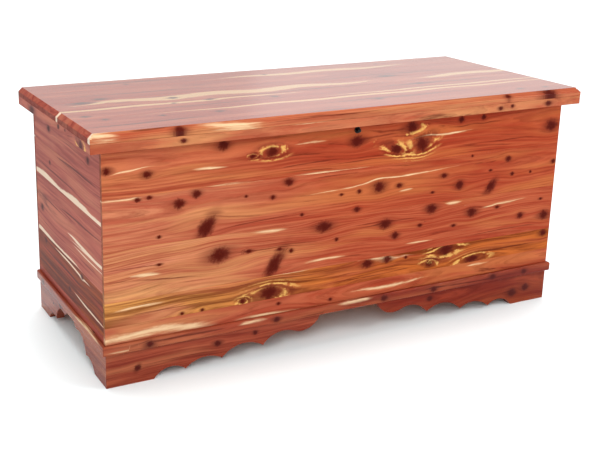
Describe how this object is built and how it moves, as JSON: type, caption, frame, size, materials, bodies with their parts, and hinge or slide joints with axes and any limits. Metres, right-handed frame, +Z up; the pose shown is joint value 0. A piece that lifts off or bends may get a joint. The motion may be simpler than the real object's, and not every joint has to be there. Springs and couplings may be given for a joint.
{
  "type": "storage chest",
  "caption": "Flat-topped cedar storage chest on scalloped bracket feet, with a hinged overhanging lid, folding lid stays and a push lock.",
  "frame": {"origin": "on the floor, under the middle of the lid", "axes": "+Z up, +X along the chest to the right as seen from the front, +Y from the front to the back"},
  "size_m": [1.219, 0.508, 0.54],
  "materials": {
    "heartwood": "clear satin varnish on red cedar heartwood with dark knots",
    "sidewood": "clear satin varnish on purplish cedar boards with cream sapwood streaks",
    "lidwood": "clear gloss varnish on pinkish cedar boards with cream sapwood streaks",
    "basewood": "clear satin varnish on dark red cedar",
    "insidewood": "bare planed cedar",
    "hinge_brass": "brass-plated strip, satin",
    "hinge_pin_steel": "plain steel wire",
    "stay_brass": "brass-plated strip, satin",
    "screw_brass": "brass-plated, slightly worn",
    "lock_black": "gloss black",
    "lock_steel": "zinc-plated"
  },
  "bodies": {
    "chest_body": {"front_panel": "heartwood", "left_side_panel": "sidewood", "right_side_panel": "sidewood", "back_panel": "sidewood", "base_moulding_front": "basewood", "base_moulding_left": "basewood", "base_moulding_right": "basewood", "bracket_front_left": "basewood", "bracket_front_right": "basewood", "bracket_left_front": "basewood", "bracket_left_back": "basewood", "bracket_right_front": "basewood", "bracket_right_back": "basewood", "bracket_back_left": "basewood", "bracket_back_right": "basewood", "bottom_panel": "insidewood", "bottom_cleat_front": "insidewood", "bottom_cleat_back": "insidewood", "bottom_cleat_left": "insidewood", "bottom_cleat_right": "insidewood", "corner_block_front_left": "insidewood", "corner_block_front_right": "insidewood", "corner_block_back_left": "insidewood", "corner_block_back_right": "insidewood", "hinge_leaf_box": "hinge_brass", "hinge_pin": "hinge_pin_steel", "lock_barrel": "lock_black", "lock_case": "lock_steel", "lock_case_screw_left": "screw_brass", "lock_case_screw_right": "screw_brass", "stay_box_plate_left": "stay_brass", "stay_box_screw_left_1": "screw_brass", "stay_box_screw_left_2": "screw_brass", "stay_box_plate_right": "stay_brass", "stay_box_screw_right_1": "screw_brass", "stay_box_screw_right_2": "screw_brass"},
    "lid": {"lid_panel": "lidwood", "lid_edge_front": "heartwood", "lid_edge_left": "sidewood", "lid_edge_right": "sidewood", "hinge_leaf_lid": "hinge_brass", "lock_strike": "lock_steel", "lock_strike_screw_left": "screw_brass", "lock_strike_screw_right": "screw_brass", "stay_lid_plate_left": "stay_brass", "stay_lid_screw_left_1": "screw_brass", "stay_lid_screw_left_2": "screw_brass", "stay_lid_plate_right": "stay_brass", "stay_lid_screw_right_1": "screw_brass", "stay_lid_screw_right_2": "screw_brass"},
    "stay_lower_left": {"stay_lower_arm_left": "stay_brass", "stay_elbow_rivet_left": "stay_brass"},
    "stay_upper_left": {"stay_upper_arm_left": "stay_brass"},
    "stay_lower_right": {"stay_lower_arm_right": "stay_brass", "stay_elbow_rivet_right": "stay_brass"},
    "stay_upper_right": {"stay_upper_arm_right": "stay_brass"},
    "lock_plunger": {"lock_plunger": "lock_black"}
  },
  "joints": [
    {"name": "lid_hinge", "type": "hinge", "parent": "chest_body", "child": "lid", "pos_m": [0, 0.2488, 0.5172], "axis": [-1, 0, 0], "range_deg": [0, 95]},
    {"name": "stay_lower_pivot_left", "type": "hinge", "parent": "chest_body", "child": "stay_lower_left", "pos_m": [-0.5553, 0.1868, 0.3992], "axis": [-1, 0, 0], "range_deg": [0, 95]},
    {"name": "stay_upper_pivot_left", "type": "hinge", "parent": "lid", "child": "stay_upper_left", "pos_m": [-0.5553, 0.0488, 0.508], "axis": [-1, 0, 0], "range_deg": [-95, 0]},
    {"name": "stay_lower_pivot_right", "type": "hinge", "parent": "chest_body", "child": "stay_lower_right", "pos_m": [0.5553, 0.1868, 0.3992], "axis": [-1, 0, 0], "range_deg": [0, 95]},
    {"name": "stay_upper_pivot_right", "type": "hinge", "parent": "lid", "child": "stay_upper_right", "pos_m": [0.5553, 0.0488, 0.508], "axis": [-1, 0, 0], "range_deg": [-95, 0]},
    {"name": "lock_push", "type": "slide", "parent": "chest_body", "child": "lock_plunger", "axis": [0, 1, 0], "range_m": [0, 0.008]}
  ],
  "couplings": [
    {"joint": "stay_lower_pivot_left", "follows": "lid_hinge", "ratio": 1},
    {"joint": "stay_upper_pivot_left", "follows": "lid_hinge", "ratio": -1},
    {"joint": "stay_lower_pivot_right", "follows": "lid_hinge", "ratio": 1},
    {"joint": "stay_upper_pivot_right", "follows": "lid_hinge", "ratio": -1}
  ]
}
